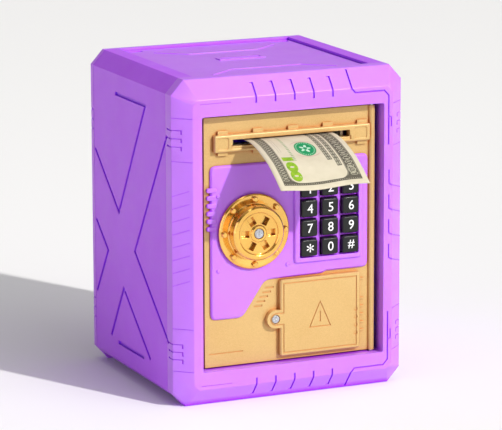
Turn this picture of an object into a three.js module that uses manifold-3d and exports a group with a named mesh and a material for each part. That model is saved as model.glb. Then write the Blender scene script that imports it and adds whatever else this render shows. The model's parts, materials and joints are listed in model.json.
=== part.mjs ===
// Toy safe coin bank: an octagonal plastic cabinet with a hinged door. The door carries a twelve-key pad,
// a turning dial that throws a latch bolt, a powered banknote slot and a battery compartment.
// Millimetres. +X is to the right, +Y runs from the door to the back, +Z is up; the floor is at z = 0.
import * as THREE from 'three';
import { mergeVertices } from 'three/addons/utils/BufferGeometryUtils.js';
import Module from 'manifold-3d';

const wasm = await Module();
wasm.setup();

// ---------------------------------------------------------------- driving dimensions

const HALF_WIDTH = 84;
const HEIGHT = 220;
const CORNER = { x: 9, z: 10 };            // chamfer along the four long edges
const FIT = 0.3;                           // gap between two pieces that rest on each other

const FRONT_Y = -74.5;                     // front face of the front frame
const RING_Y = -63.9;                      // where the front chamfer reaches the full outline
const FRAME_BACK_Y = -55;                  // front frame ends, side panels begin
const REAR_JOIN_Y = 74.5;                  // side panels end, rear frame begins
const REAR_CHAMFER_Y = 79;
const REAR_Y = 82.5;
const FACE_INSET = { x: 11.4, z: 12.7 };   // front face inside the full outline
const FACE_CORNER = 3.5;
const WALL = 3;

const OPENING = { x: 66.3, low: 24.3, high: 195.9 };
const LIP_BACK_Y = -62;                    // the opening's inner wall ends here, the bolt hooks behind it

const PANEL_Y = -66.5;                     // front of the door panel
const PANEL_BACK_Y = -63.5;
const DOOR = { left: -61.7, right: 57.9, low: 25.4, high: 193.8 };
const HINGE = { x: 60.5, y: -66.7, barrel: 2.3, pin: 1.2, bore: 1.4 };
const TRIM_BACK_Y = PANEL_Y - FIT;         // back of everything that sits on the panel

const KNOB = { x: -27.5, z: 116, flange: 25.5, drum: 18.3, recess: 14, hub: 5.8 };
const SPINDLE_RADIUS = 4;
const CAM_THROW = 6.36;                    // cam pin's distance from the knob's axis
const CAM_PIN = 1.5;

const KEY = { width: 11.8, height: 11.4, pitchX: 15.2, pitchZ: 13.45, left: 12.8, top: 141.4 };
const KEY_FRONT_Y = -71.5;
const KEY_NAMES = ['1', '2', '3', '4', '5', '6', '7', '8', '9', 'star', '0', 'hash'];

const NOTE = { left: -33.2, right: 30.8, z: 177.5, thickness: 0.4 };
const TYRE_RADIUS = 5;
const PRESS_RADIUS = 4;
const ROLLER_Y = -54.6;
const SHAFT_RADIUS = 1.5;
const GEAR = { teeth: 18, tip: 5.9, root: 4.6 };
const PINION = { teeth: 16, tip: 5.3, root: 4 };
const GEAR_DISTANCE = 10.35;
const FEED_Z = NOTE.z - NOTE.thickness / 2 - 0.1 - TYRE_RADIUS;
const PRESS_Z = NOTE.z + NOTE.thickness / 2 + 0.1 + PRESS_RADIUS;
const MOTOR_Z = FEED_Z - GEAR_DISTANCE;

const CELL = { radius: 7.1, length: 50.4, y: -55.6, left: -3.2, z: [40, 54.6, 69.2] };
const BATTERY_COVER = { left: -8.2, right: 50.9, low: 28.5, high: 80.9 };
const COVER_FRONT_Y = -70.5;
const BATTERY_SCREW = { x: -11.8, z: 54.4 };
const GRIP = { low: 39.2, pitch: 5.5, count: 4 }; // finger marks beside the battery cover

// ---------------------------------------------------------------- materials

const plastic = (color, roughness = 0.42) =>
  new THREE.MeshStandardMaterial({ color, roughness, metalness: 0 });
const metal = (color, roughness = 0.3) =>
  new THREE.MeshStandardMaterial({ color, roughness, metalness: 1 });
const PURPLE = plastic(0xb46bea);
const GOLD = plastic(0xe3b671, 0.35);
const CHROME_GOLD = metal(0xe2a63a, 0.2);
const BLACK = plastic(0x1c1c1e, 0.25);
const SILVER = metal(0xc9ccd0, 0.3);
const RUBBER = plastic(0x35363a, 0.8);
const BOARD_GREEN = plastic(0x2f7a4a, 0.5);
const DARK = plastic(0x2a2a2e, 0.5);
const NYLON = plastic(0xece6d6, 0.5);
const BRASS = metal(0xc9a24f, 0.35);
const PAPER = plastic(0xe9e6cf, 0.8);
const CELL_WRAP = plastic(0x4b6fa8, 0.4);

// ---------------------------------------------------------------- solids

/** A manifold solid from a closed three.js geometry. */
function toSolid(geometry) {
  const bare = geometry.clone();
  bare.deleteAttribute('normal');
  bare.deleteAttribute('uv');
  const merged = mergeVertices(bare, 1e-4);
  return new wasm.Manifold(new wasm.Mesh({
    numProp: 3,
    vertProperties: Float32Array.from(merged.attributes.position.array),
    triVerts: Uint32Array.from(merged.index.array),
  }));
}

/** A three.js geometry from a manifold solid. */
function toGeometry(solid) {
  const mesh = solid.getMesh();
  const geometry = new THREE.BufferGeometry();
  geometry.setAttribute('position', new THREE.BufferAttribute(mesh.vertProperties, 3));
  geometry.setIndex(new THREE.BufferAttribute(mesh.triVerts, 1));
  geometry.computeVertexNormals();
  return geometry;
}

const join = (...solids) => solids.reduce((all, next) => all.add(next));
const cut = (solid, ...tools) => tools.reduce((rest, tool) => rest.subtract(tool), solid);

/** A box between two limits on each axis. */
function block([x0, x1], [y0, y1], [z0, z1]) {
  const box = new THREE.BoxGeometry(x1 - x0, y1 - y0, z1 - z0);
  return toSolid(box.translate((x0 + x1) / 2, (y0 + y1) / 2, (z0 + z1) / 2));
}

// Each matrix turns an extrusion (outline in u, v and depth along w) to stand along one axis.
const X_AXIS = new THREE.Vector3(1, 0, 0);
const Y_AXIS = new THREE.Vector3(0, 1, 0);
const Z_AXIS = new THREE.Vector3(0, 0, 1);
const ALONG = {
  x: new THREE.Matrix4().makeBasis(Y_AXIS, Z_AXIS, X_AXIS),                  // outline (y, z)
  y: new THREE.Matrix4().makeBasis(X_AXIS, Z_AXIS, Y_AXIS.clone().negate()), // outline (x, z)
  z: new THREE.Matrix4(),                                                    // outline (x, y)
};

const outlineOf = (points) => new THREE.Shape(points.map(([u, v]) => new THREE.Vector2(u, v)));

/** A prism of an outline (a list of points or a Shape) between two places along an axis. */
function prism(axis, outline, from, to, curveSegments = 4) {
  const shape = Array.isArray(outline) ? outlineOf(outline) : outline;
  const geometry = new THREE.ExtrudeGeometry(shape, { depth: to - from, bevelEnabled: false, curveSegments });
  geometry.applyMatrix4(ALONG[axis]);
  const start = axis === 'y' ? to : from;
  return toSolid(geometry.translate(...['x', 'y', 'z'].map((name) => (name === axis ? start : 0))));
}

/** A round rod along an axis; centre holds the two other coordinates in X, Y, Z order. */
function rod(axis, radius, centre, from, to, sides = 24, endRadius = radius) {
  const geometry = new THREE.CylinderGeometry(endRadius, radius, to - from, sides);
  const middle = (from + to) / 2;
  if (axis === 'x') geometry.rotateZ(-Math.PI / 2).translate(middle, centre[0], centre[1]);
  if (axis === 'y') geometry.translate(centre[0], middle, centre[1]);
  if (axis === 'z') geometry.rotateX(Math.PI / 2).translate(centre[0], centre[1], middle);
  return toSolid(geometry);
}

/** A turned piece about a line parallel to Y. Profile points are (radius, y), outside run to -Y. */
function turned(profile, x, z, sides) {
  const points = [...profile, profile[0]].reverse().map(([r, y]) => new THREE.Vector2(r, y));
  return toSolid(new THREE.LatheGeometry(points, sides).translate(x, 0, z));
}

/** A rounded outline: straight sides with each corner cut back by its radius and curved. */
function rounded(points, radius) {
  const shape = new THREE.Shape();
  const at = (i) => new THREE.Vector2(...points[(i + points.length) % points.length]);
  points.forEach((_, i) => {
    const corner = at(i);
    const before = at(i - 1).sub(corner);
    const after = at(i + 1).sub(corner);
    const reach = Math.min(radius, before.length() / 2.2, after.length() / 2.2);
    const enter = corner.clone().add(before.setLength(reach));
    const leave = corner.clone().add(after.setLength(reach));
    if (i === 0) shape.moveTo(enter.x, enter.y);
    else shape.lineTo(enter.x, enter.y);
    shape.quadraticCurveTo(corner.x, corner.y, leave.x, leave.y);
  });
  shape.closePath();
  return shape;
}

const rectangle = (x0, x1, z0, z1) => [[x0, z0], [x1, z0], [x1, z1], [x0, z1]];

/** A plate facing the front, with a bevelled front edge. */
function bevelledPlate(shape, frontY, backY, bevel) {
  const geometry = new THREE.ExtrudeGeometry(shape, {
    depth: backY - frontY, bevelEnabled: true, bevelThickness: bevel, bevelSize: bevel,
    bevelOffset: -bevel, bevelSegments: 1, curveSegments: 3,
  });
  geometry.applyMatrix4(ALONG.y).translate(0, backY + bevel, 0);
  const span = 200;
  return toSolid(geometry).intersect(block([-span, span], [frontY - 1, backY], [-span, 2 * span]));
}

/** A closed skin over outlines (x, z), each at its own y, that have the same number of points. */
function loft(sections) {
  const count = sections[0].outline.length;
  const positions = sections.flatMap(({ y, outline }) => outline.flatMap(([x, z]) => [x, y, z]));
  const faces = [];
  for (let s = 0; s + 1 < sections.length; s += 1) {
    for (let i = 0; i < count; i += 1) {
      const a = s * count + i;
      const b = s * count + (i + 1) % count;
      faces.push(a, b + count, b, a, a + count, b + count);
    }
  }
  const last = (sections.length - 1) * count;
  for (let i = 1; i + 1 < count; i += 1) {
    faces.push(0, i, i + 1, last, last + i + 1, last + i);
  }
  const geometry = new THREE.BufferGeometry();
  geometry.setAttribute('position', new THREE.Float32BufferAttribute(positions, 3));
  geometry.setIndex(faces);
  return toSolid(geometry);
}

/** The cabinet's eight-sided outline, clockwise from the top left as seen from the front. */
function octagon(insetX, insetZ, cornerX, cornerZ) {
  const x = HALF_WIDTH - insetX;
  const high = HEIGHT - insetZ;
  const low = insetZ;
  return [
    [-x + cornerX, high], [-x, high - cornerZ], [-x, low + cornerZ], [-x + cornerX, low],
    [x - cornerX, low], [x, low + cornerZ], [x, high - cornerZ], [x - cornerX, high],
  ];
}

/** A straight groove cutter along a surface, from one point to another, with the surface's outward normal. */
function trench(from, to, normal, width, depth) {
  const start = new THREE.Vector3(...from);
  const run = new THREE.Vector3(...to).sub(start);
  const up = new THREE.Vector3(...normal).normalize();
  const length = run.length() + width * 0.8;
  const across = new THREE.Vector3().crossVectors(up, run).normalize();
  const along = new THREE.Vector3().crossVectors(across, up);
  const rise = 1.4;
  const geometry = new THREE.BoxGeometry(length, width, depth + rise);
  geometry.applyMatrix4(new THREE.Matrix4().makeBasis(along, across, up));
  const centre = start.addScaledVector(run, 0.5).addScaledVector(up, (rise - depth) / 2);
  return toSolid(geometry.translate(centre.x, centre.y, centre.z));
}

/** Trenches through a list of points on one surface. */
function trenchPath(points, normal, width, depth) {
  return points.slice(1).map((point, i) => trench(points[i], point, normal, width, depth));
}

// ---------------------------------------------------------------- cabinet

const FACE_X = HALF_WIDTH - FACE_INSET.x;
const FACE_TOP = HEIGHT - FACE_INSET.z;
const CHAMFER_RUN = RING_Y - FRONT_Y;

/** A place on the slope round the face: share 0 is the outer edge, share 1 is the face's edge. */
const onTopSlope = (x, share, side) => {
  const z = HEIGHT - FACE_INSET.z * share;
  return [x, RING_Y - CHAMFER_RUN * share, side > 0 ? z : HEIGHT - z];
};
const onSideSlope = (share, z, side) =>
  [side * (HALF_WIDTH - FACE_INSET.x * share), RING_Y - CHAMFER_RUN * share, z];
const TO_FRONT = [0, -1, 0];

/** Short grooves across the top and bottom front edges, and the line round the face's right side. */
function frameEdgeGrooves() {
  const width = 1.3;
  const depth = 1.1;
  const pitch = 13.94;
  const firstX = -27.7;
  const count = 5;
  const faceX = 69.5;
  const tools = [];
  for (const side of [1, -1]) {
    const onFace = ([x, height]) => [x, FRONT_Y, side > 0 ? height : HEIGHT - height];
    const slope = [0, -FACE_INSET.z, side * CHAMFER_RUN];
    for (let i = 0; i < count; i += 1) {
      const x = firstX + pitch * i;
      tools.push(trench(onTopSlope(x, 0.37, side), onTopSlope(x, 1, side), slope, width, depth));
      tools.push(trench(onTopSlope(x - 1.6, 0.37, side), onTopSlope(x, 0.37, side), slope, 0.6, 0.4));
      tools.push(...trenchPath([[x, FACE_TOP], [x, FACE_TOP - 3.8]].map(onFace), TO_FRONT, width, depth));
    }
    const bend = firstX + pitch * count;
    tools.push(trench(onTopSlope(bend, 0.12, side), onTopSlope(bend, 1, side), slope, width, depth));
    const line = [[bend, FACE_TOP], [bend + 2.6, FACE_TOP - 2.9], [66.2, FACE_TOP - 2.9],
      [faceX, 200.8], [faceX, 167.8]];
    const tab = [[faceX, 187], [faceX + 2, 186], [faceX + 2, 180]];
    tools.push(...trenchPath(line.map(onFace), TO_FRONT, 1, 0.9));
    tools.push(...trenchPath(tab.map(onFace), TO_FRONT, 0.8, 0.7));
    tools.push(...trenchPath([[-67.5, 204.6], [-46, 204.6]].map(onFace), TO_FRONT, 0.5, 0.3));
  }
  return tools;
}

/** Fine marks on the two side slopes: hooks, cross lines and slanted lines, and the steps on the right. */
function frameSideMarks() {
  const tools = [];
  for (const side of [-1, 1]) {
    const slope = [side * CHAMFER_RUN, -FACE_INSET.x, 0];
    const outward = [side, 0, 0];
    const line = (from, to, width, depth) =>
      trench(onSideSlope(...from, side), onSideSlope(...to, side), slope, width, depth);
    for (const z of [25.4, 54.3, 166.6, 195.3]) tools.push(line([0.04, z], [0.96, z], 0.5, 0.3));
    for (const z of [33.4, 38.5, 43.7, 176.4, 181.8, 187.3]) {
      tools.push(line([0.02, z], [0.47, z], 0.6, 0.5), line([0.47, z - 2.2], [0.47, z], 1, 0.7));
      tools.push(trench([side * HALF_WIDTH, RING_Y - 0.4, z], [side * HALF_WIDTH, -58, z], outward, 1, 0.7));
    }
    for (const [from, to] of [[177.6, 181.9], [46.1, 43.3]]) {
      tools.push(trench([side * HALF_WIDTH, FRAME_BACK_Y + 0.9, from], [side * HALF_WIDTH, -56.8, to],
        outward, STRAP_GROOVE.width, STRAP_GROOVE.depth));
    }
  }
  for (let i = 0; i < 8; i += 1) {
    const z = 83.1 + 8.61 * i;
    const slopeNormal = [-CHAMFER_RUN, -FACE_INSET.x, 0];
    tools.push(trench(onSideSlope(0.06, z, -1), onSideSlope(0.8, z + 4, -1), slopeNormal, 0.5, 0.3));
  }
  for (let i = 0; i < 4; i += 1) {
    const z = 98.8 + 17 * i;
    const step = [[69.9, z], [69.9, z - 9], [72.3, z - 10.2]].map(([x, height]) => [x, FRONT_Y, height]);
    tools.push(...trenchPath(step, TO_FRONT, 0.9, 0.7));
    tools.push(trench(onSideSlope(0.99, z - 10.3, 1), onSideSlope(0.05, z - 14.2, 1),
      [CHAMFER_RUN, -FACE_INSET.x, 0], 0.6, 0.4));
  }
  return tools;
}

/** The frame's outer outline partway down its slope; share 0 is the full outline and 1 the face's edge. */
function slopeSection(share) {
  const between = (ring, face) => ring + (face - ring) * share;
  return {
    y: between(RING_Y, FRONT_Y),
    outline: octagon(between(0, FACE_INSET.x), between(0, FACE_INSET.z),
      between(CORNER.x, FACE_CORNER), between(CORNER.z, FACE_CORNER)),
  };
}

function frontFrame() {
  const edge = 0.6;
  const full = octagon(0, 0, CORNER.x, CORNER.z);
  const body = loft([
    { y: FRONT_Y, outline: octagon(FACE_INSET.x + edge, FACE_INSET.z + edge, FACE_CORNER, FACE_CORNER) },
    slopeSection(0.96),
    slopeSection(0.04),
    { y: RING_Y + edge, outline: full },
    { y: FRAME_BACK_Y, outline: full },
  ]);
  const { x, low, high } = OPENING;
  const through = prism('y', rounded(rectangle(-x, x, low, high), 1.5), FRONT_Y - 1, FRAME_BACK_Y + 1, 2);
  const skin = 4.5;
  const pocketFront = -66;
  const lip = block([-x - WALL, x + WALL], [pocketFront - 1, LIP_BACK_Y], [low - WALL, high + WALL]);
  const pocketOutline = octagon(skin, skin, CORNER.x, CORNER.z);
  const pocket = prism('y', pocketOutline, pocketFront, FRAME_BACK_Y + 1).subtract(lip);
  const stop = (z) => block([-x - 1, DOOR.left + 1.6], [PANEL_BACK_Y + 0.4, LIP_BACK_Y + 0.5], [z, z + 20]);
  const pinHole = (from, to) => rod('z', HINGE.bore, [HINGE.x, HINGE.y], from, to, 16);
  return join(
    cut(body, through, pocket, pinHole(high - 1, high + 5), pinHole(low - 5, low + 1),
      ...frameEdgeGrooves(), ...frameSideMarks()),
    stop(40), stop(130));
}

// Crossed straps on the side panels, as grooves (y, z); the pattern is the same on both sides.
const STRAP_GROOVE = { width: 2.4, depth: 1.5 };
const STRAP_GROOVES = [
  [[33, 196.5], [-20, 196.5], [29.3, 114.8], [72, 151.5]],
  [[-54, 177.6], [1, 93.1], [-54, 46.1]],
  [[71.5, 101.5], [50.1, 84], [71.5, 51.5]],
  [[45.3, 25.3], [21.8, 62.8], [-24.5, 24.5]],
  [[31.9, 22.6], [-12.8, 22.6]],
];
const RIM_INNER_X = 64.3;                  // top rim's inner edge, beside the recessed top panel
const TOP_PANEL = { low: 215, high: 218 };
const SCREW_BOSS = { x: 73, low: 20, high: 200, radius: 3.5, length: 14 };

function sidePanel(side) {
  const front = FRAME_BACK_Y + FIT;
  const back = REAR_JOIN_Y - FIT;
  const w = HALF_WIDTH;
  const ledge = TOP_PANEL.low - FIT;
  const profile = [
    [w, CORNER.z], [w, HEIGHT - CORNER.z], [w - CORNER.x, HEIGHT], [RIM_INNER_X, HEIGHT],
    [RIM_INNER_X, ledge], [RIM_INNER_X - 6, ledge], [RIM_INNER_X - 6, ledge - 2.5],
    [RIM_INNER_X + WALL, ledge - 2.5], [RIM_INNER_X + WALL, HEIGHT - WALL],
    [w - CORNER.x - 1.2, HEIGHT - WALL], [w - WALL, HEIGHT - CORNER.z - 1.2],
    [w - WALL, CORNER.z + 1.4], [w - WALL - 2.6, 8.5], [w - 8, 8.5], [w - 8, 5.5], [w - 4.5, 5.5],
  ];
  const shell = prism('y', profile.map(([x, z]) => [side * x, z]), front, back);
  const bosses = [SCREW_BOSS.low, SCREW_BOSS.high].map((z) => {
    const from = back - SCREW_BOSS.length;
    const web = [side * SCREW_BOSS.x, side * (w - 1.5)].sort((a, b) => a - b);
    const boss = rod('y', SCREW_BOSS.radius, [side * SCREW_BOSS.x, z], from, back, 12);
    return boss.add(block(web, [from, back], [z - 1, z + 1]))
      .subtract(rod('y', 1.6, [side * SCREW_BOSS.x, z], from - 1, back + 1, 12));
  });
  const grooves = STRAP_GROOVES.flatMap((path) =>
    trenchPath(path.map(([y, z]) => [side * w, y, z]), [side, 0, 0], STRAP_GROOVE.width, STRAP_GROOVE.depth));
  return cut(join(shell, ...bosses), ...grooves);
}

const COIN_SLOT = { halfLength: 14.8, halfWidth: 2.25, y: 12.5 };

function topPanel() {
  const front = FRAME_BACK_Y + FIT;
  const back = REAR_JOIN_Y - FIT;
  const x = RIM_INNER_X - FIT;
  const plate = block([-x, x], [front, back], [TOP_PANEL.low, TOP_PANEL.high]);
  const line = (from, to) => {
    const bar = trench([...from, TOP_PANEL.high], [...to, TOP_PANEL.high], [0, 0, 1], 1.2, 0.5);
    return bar.intersect(block([-x, x], [front, back], [TOP_PANEL.high - 1, TOP_PANEL.high + 0.6]));
  };
  const { halfLength, halfWidth, y } = COIN_SLOT;
  const collar = block([-halfLength - 2.2, halfLength + 2.2], [y - halfWidth - 2, y + halfWidth + 2],
    [TOP_PANEL.high - 0.5, TOP_PANEL.high + 0.8]);
  const ribs = [-1, 1].flatMap((side) => {
    const outer = side < 0 ? -44.6 : 57.5;
    const inner = side < 0 ? -29 : 42;
    return [
      line([-45, outer], [-26, inner]), line([-26, inner], [26, inner]), line([26, inner], [45, outer]),
    ];
  });
  const depth = [TOP_PANEL.low - 1, TOP_PANEL.high + 2];
  const slot = block([-halfLength, halfLength], [y - halfWidth, y + halfWidth], depth);
  const pockets = [-1, 1].map((side) => {
    const span = [side * 49, side * 62.5].sort((a, b) => a - b);
    return block(span, [back - 7, back - 2], [TOP_PANEL.high - 1.4, TOP_PANEL.high + 1]);
  });
  return cut(join(plate, collar, ...ribs), slot, ...pockets);
}

function coinChute() {
  const { halfLength, halfWidth, y } = COIN_SLOT;
  const top = TOP_PANEL.low - FIT;
  const tube = (margin, low, high) => block([-halfLength - margin, halfLength + margin],
    [y - halfWidth - margin, y + halfWidth + margin], [low, high]);
  return tube(2.6, 203, top).subtract(tube(0.8, 202, top + 1));
}

function bottomPanel() {
  const x = HALF_WIDTH - 8 - FIT;
  const plate = block([-x, x], [FRAME_BACK_Y + FIT, REAR_JOIN_Y - FIT], [5.5, 8.5]);
  const rib = (y) => block([-x + 4, x - 4], [y, y + 2], [8, 12]);
  return join(plate, rib(-30), rib(10), rib(50));
}

const BACK_OPENING = { x: 62, low: 18, high: 202 };

function rearFrame() {
  const outline = octagon(0, 0, CORNER.x, CORNER.z);
  const body = loft([
    { y: REAR_JOIN_Y, outline },
    { y: REAR_CHAMFER_Y, outline },
    { y: REAR_Y, outline: octagon(3.5, 3.5, CORNER.x - 1, CORNER.z - 1) },
  ]);
  const { x, low, high } = BACK_OPENING;
  const window = block([-x, x], [REAR_JOIN_Y - 1, REAR_Y + 1], [low, high]);
  const holes = [-1, 1].flatMap((side) => [SCREW_BOSS.low, SCREW_BOSS.high].flatMap((z) => [
    rod('y', 1.6, [side * SCREW_BOSS.x, z], REAR_JOIN_Y - 1, REAR_Y + 1, 12),
    rod('y', 3.5, [side * SCREW_BOSS.x, z], REAR_Y - 2, REAR_Y + 1, 16),
  ]));
  const marks = [-1, 1].flatMap((side) => [165.2, 31.2].flatMap((base) => [0, 1, 2].map((i) => {
    const on = (y) => [side * HALF_WIDTH, y, base + 6.9 * i];
    return trench(on(REAR_JOIN_Y + 0.6), on(REAR_CHAMFER_Y), [side, 0, 0], 1.2, 0.8);
  })));
  return cut(body, window, ...holes, ...marks);
}

function backPanel() {
  const { x, low, high } = BACK_OPENING;
  const inset = FIT;
  const plate = block([-x + inset, x - inset], [REAR_Y - 5, REAR_Y - 2], [low + inset, high - inset]);
  const y = REAR_Y - 2;
  const border = [[-50, 30], [50, 30], [50, 190], [-50, 190], [-50, 30]];
  const diagonals = [[[-42, 40], [42, 180]], [[-42, 180], [42, 40]]];
  const grooves = [border, ...diagonals].flatMap((path) =>
    trenchPath(path.map(([u, v]) => [u, y, v]), [0, 1, 0], 1.6, 1));
  return cut(plate, ...grooves);
}

/** A cross-head screw along Y. It points to +Y when toward is 1 and to -Y when toward is -1. */
function screw(x, z, seatY, headRadius, shaftRadius, headHeight, shaftLength, toward) {
  const sides = 16;
  const span = (a, b) => [Math.min(a, b), Math.max(a, b)];
  const top = seatY - toward * headHeight;
  const head = rod('y', headRadius, [x, z], ...span(top, seatY), sides);
  const reach = span(seatY - toward * 0.3, seatY + toward * shaftLength);
  const shaft = rod('y', shaftRadius, [x, z], ...reach, 10);
  const recess = span(top - toward, top + toward * headHeight * 0.5);
  const arm = headRadius * 0.6;
  const slit = headRadius * 0.14;
  return cut(join(head, shaft), block([x - arm, x + arm], recess, [z - slit, z + slit]),
    block([x - slit, x + slit], recess, [z - arm, z + arm]));
}

const hingePin = (from, to) => rod('z', HINGE.pin, [HINGE.x, HINGE.y], from, to, 16);

// ---------------------------------------------------------------- door

const KEYPAD_WINDOW = { left: 5.4, right: 50.2, low: 93.6, high: 149 };
const CELL_WINDOW = { left: -3.5, right: 47.5, low: 32.5, high: 76.7 };
const NOTE_SLOT = { half: 42.7, low: 174.2, high: 178.8 };

function doorPanel() {
  const { left, right, low, high } = DOOR;
  const plate = block([left, right], [PANEL_Y, PANEL_BACK_Y], [low, high]);
  const barrel = join(
    rod('z', HINGE.barrel, [HINGE.x, HINGE.y], low, high, 20),
    block([right - 1, HINGE.x + 1], [PANEL_Y, PANEL_BACK_Y], [low, high]));
  const bores = [[high - 6, high + 1], [low - 1, low + 6]].map(([from, to]) =>
    rod('z', HINGE.bore, [HINGE.x, HINGE.y], from, to, 16));
  const boss = rod('y', 3.5, [BATTERY_SCREW.x, BATTERY_SCREW.z], PANEL_BACK_Y - 0.5, -57, 16);
  const windowOf = (w) => block([w.left, w.right], [PANEL_Y - 1, PANEL_BACK_Y + 1], [w.low, w.high]);
  const tools = [
    windowOf(KEYPAD_WINDOW), windowOf(CELL_WINDOW),
    windowOf({ left: -43.5, right: 43.5, low: NOTE_SLOT.low - 0.3, high: NOTE_SLOT.high + 0.3 }),
    rod('y', SPINDLE_RADIUS + 0.3, [KNOB.x, KNOB.z], PANEL_Y - 1, PANEL_BACK_Y + 1, 24),
    rod('y', 1.6, [BATTERY_SCREW.x, BATTERY_SCREW.z], PANEL_Y - 1, -56, 12),
    trench([-58.5, PANEL_Y, 34.4], [-34.5, PANEL_Y, 34.4], [0, -1, 0], 0.8, 0.5),
  ];
  const ribs = [];
  for (let i = 0; i < 5; i += 1) {
    const x = -17.3 - 2.1 * i;
    const z = 76 - 3 * i;
    tools.push(trench([x, PANEL_Y, z], [x + 5.2, PANEL_Y, z], [0, -1, 0], 1.3, 0.6));
  }
  const mark = (z) => block([51.6, 55], [PANEL_Y - 1, PANEL_Y + 1], [z, z + 1]);
  for (let i = 0; i < GRIP.count; i += 1) ribs.push(mark(GRIP.low + GRIP.pitch * i));
  ribs.push(mark(61.2), mark(74.9));
  return cut(join(plate, barrel, boss, ...ribs), ...bores, ...tools);
}

function slotBezel() {
  const front = -70.5;
  const bar = bevelledPlate(rounded(rectangle(-55.6, 58, 170.6, 182.2), 1.2), front, TRIM_BACK_Y, 0.7);
  const tabs = [];
  for (let i = 0; i < 5; i += 1) {
    const x = -52.6 + 25.4 * i;
    tabs.push(block([x, x + 7.4], [front + 2, TRIM_BACK_Y], [181, 184.6]));
    tabs.push(block([x, x + 7.4], [front + 2, TRIM_BACK_Y], [168.2, 172]));
  }
  const { half, low, high } = NOTE_SLOT;
  const hole = block([-half, half], [front - 1, TRIM_BACK_Y + 1], [low, high]);
  const step = block([-half - 1, half + 1], [front - 1, front + 0.9], [172.4, low + 1]);
  const pads = [[-53.2, -45.5], [46, 55.4]].map(([x0, x1]) =>
    prism('y', rounded(rectangle(x0, x1, 172.6, 180.2), 1.5), front - 1, front + 0.6));
  return cut(join(bar, ...tabs), hole, step, ...pads);
}

function keypadPlate() {
  const front = -68.5;
  const outline = [[-58, 57.6], [-34.9, 57.4], [-18.4, 81.6], [24, 82], [26, 83.4], [57.4, 83.4],
    [57.4, 161.6],
    [-58, 161.6]];
  const plate = bevelledPlate(rounded(outline, 4), front, TRIM_BACK_Y, 1.2);
  const rim = bevelledPlate(rounded(rectangle(2.3, 52.3, 91, 151.5), 2.5), -70.3, TRIM_BACK_Y, 0.8);
  const fingers = [];
  for (let i = 0; i < 6; i += 1) {
    const z = 119.7 + 5.2 * i;
    const finger = rounded(rectangle(-60.6, -53.8, z - 1.5, z + 1.5), 1.2);
    fingers.push(prism('y', finger, front - 0.5, TRIM_BACK_Y, 2));
  }
  const studs = [45, 135, 225, 315].map((degrees) =>
    rod('y', 1.3, aroundKnob(35.5, THREE.MathUtils.degToRad(degrees)), front - 0.7, TRIM_BACK_Y, 12));
  const well = prism('y', rounded(rectangle(6.1, 49.5, 94.3, 148.3), 1), -71.5, -67.9, 3);
  const keyHoles = keyCentres().map(({ x, z }) => keyBlock(x, z, 0.35, -69, TRIM_BACK_Y + 1));
  const spindle = rod('y', SPINDLE_RADIUS + 0.6, [KNOB.x, KNOB.z], front - 1, TRIM_BACK_Y + 1, 24);
  return cut(join(plate, rim, ...fingers, ...studs), well, spindle, ...keyHoles);
}

/** A place (x, z) at that distance and angle from the knob's axis. */
function aroundKnob(reach, angle) {
  return [KNOB.x + reach * Math.cos(angle), KNOB.z + reach * Math.sin(angle)];
}

function keyCentres() {
  return KEY_NAMES.map((name, i) => ({
    name,
    x: KEY.left + KEY.pitchX * (i % 3),
    z: KEY.top - KEY.pitchZ * Math.floor(i / 3),
  }));
}

function keyBlock(x, z, margin, frontY, backY) {
  const w = KEY.width / 2 + margin;
  const h = KEY.height / 2 + margin;
  return block([x - w, x + w], [frontY, backY], [z - h, z + h]);
}

/** One key: a bevelled cap and a wider flange that keeps it behind the plate. */
function keyCap(x, z) {
  const w = KEY.width / 2;
  const h = KEY.height / 2;
  const cap = bevelledPlate(rounded(rectangle(x - w, x + w, z - h, z + h), 1.6), KEY_FRONT_Y, -66, 0.7);
  return cap.add(keyBlock(x, z, 0.7, -66.4, -65.2));
}

function doorBackCover() {
  const left = -59.2;
  const right = 57;
  const front = PANEL_BACK_Y + FIT;
  const back = -44;
  const skin = 2.2;
  const shell = block([left, right], [front, back], [27.5, 193]);
  const hollow = block([left + skin, right - skin], [front - 1, back - skin], [27.5 + skin, 193 - skin]);
  const boltHole = block([left - 1, left + skin + 1], [-61.8, -56.6], [111.4, 120.6]);
  const noteExit = block([-44, 44], [back - skin - 1, back + 1], [171, 184]);
  const bosses = COVER_SCREWS.map(([x, z]) => rod('y', 3, [x, z], front, back - 1, 12));
  const holes = COVER_SCREWS.flatMap(([x, z]) => [
    rod('y', 1.5, [x, z], front - 1, back + 1, 12),
    rod('y', 3.1, [x, z], back - 1.2, back + 1, 16),
  ]);
  const border = [[-46, 36], [46, 36], [46, 160], [-46, 160], [-46, 36]];
  const borders = trenchPath(border.map(([x, z]) => [x, back, z]), [0, 1, 0], 1.4, 0.8);
  return cut(join(shell.subtract(hollow), ...bosses), boltHole, noteExit, ...holes, ...borders);
}

const COVER_SCREWS = [[-53, 33.6], [51, 86], [-53, 187], [51, 187]];

function batteryTray() {
  const front = PANEL_BACK_Y + FIT;
  const box = block([-5.8, 49.8], [front, -46.8], [30.4, 78.8]);
  return box.subtract(block([-4.4, 48.4], [front - 1, -48], [31.8, 77.4]));
}

const batteryCell = (z) => {
  const { radius, length, y, left } = CELL;
  const can = rod('x', radius, [y, z], left, left + length - 1.4, 20);
  return can.add(rod('x', 2.7, [y, z], left + length - 2, left + length, 12));
};

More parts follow.
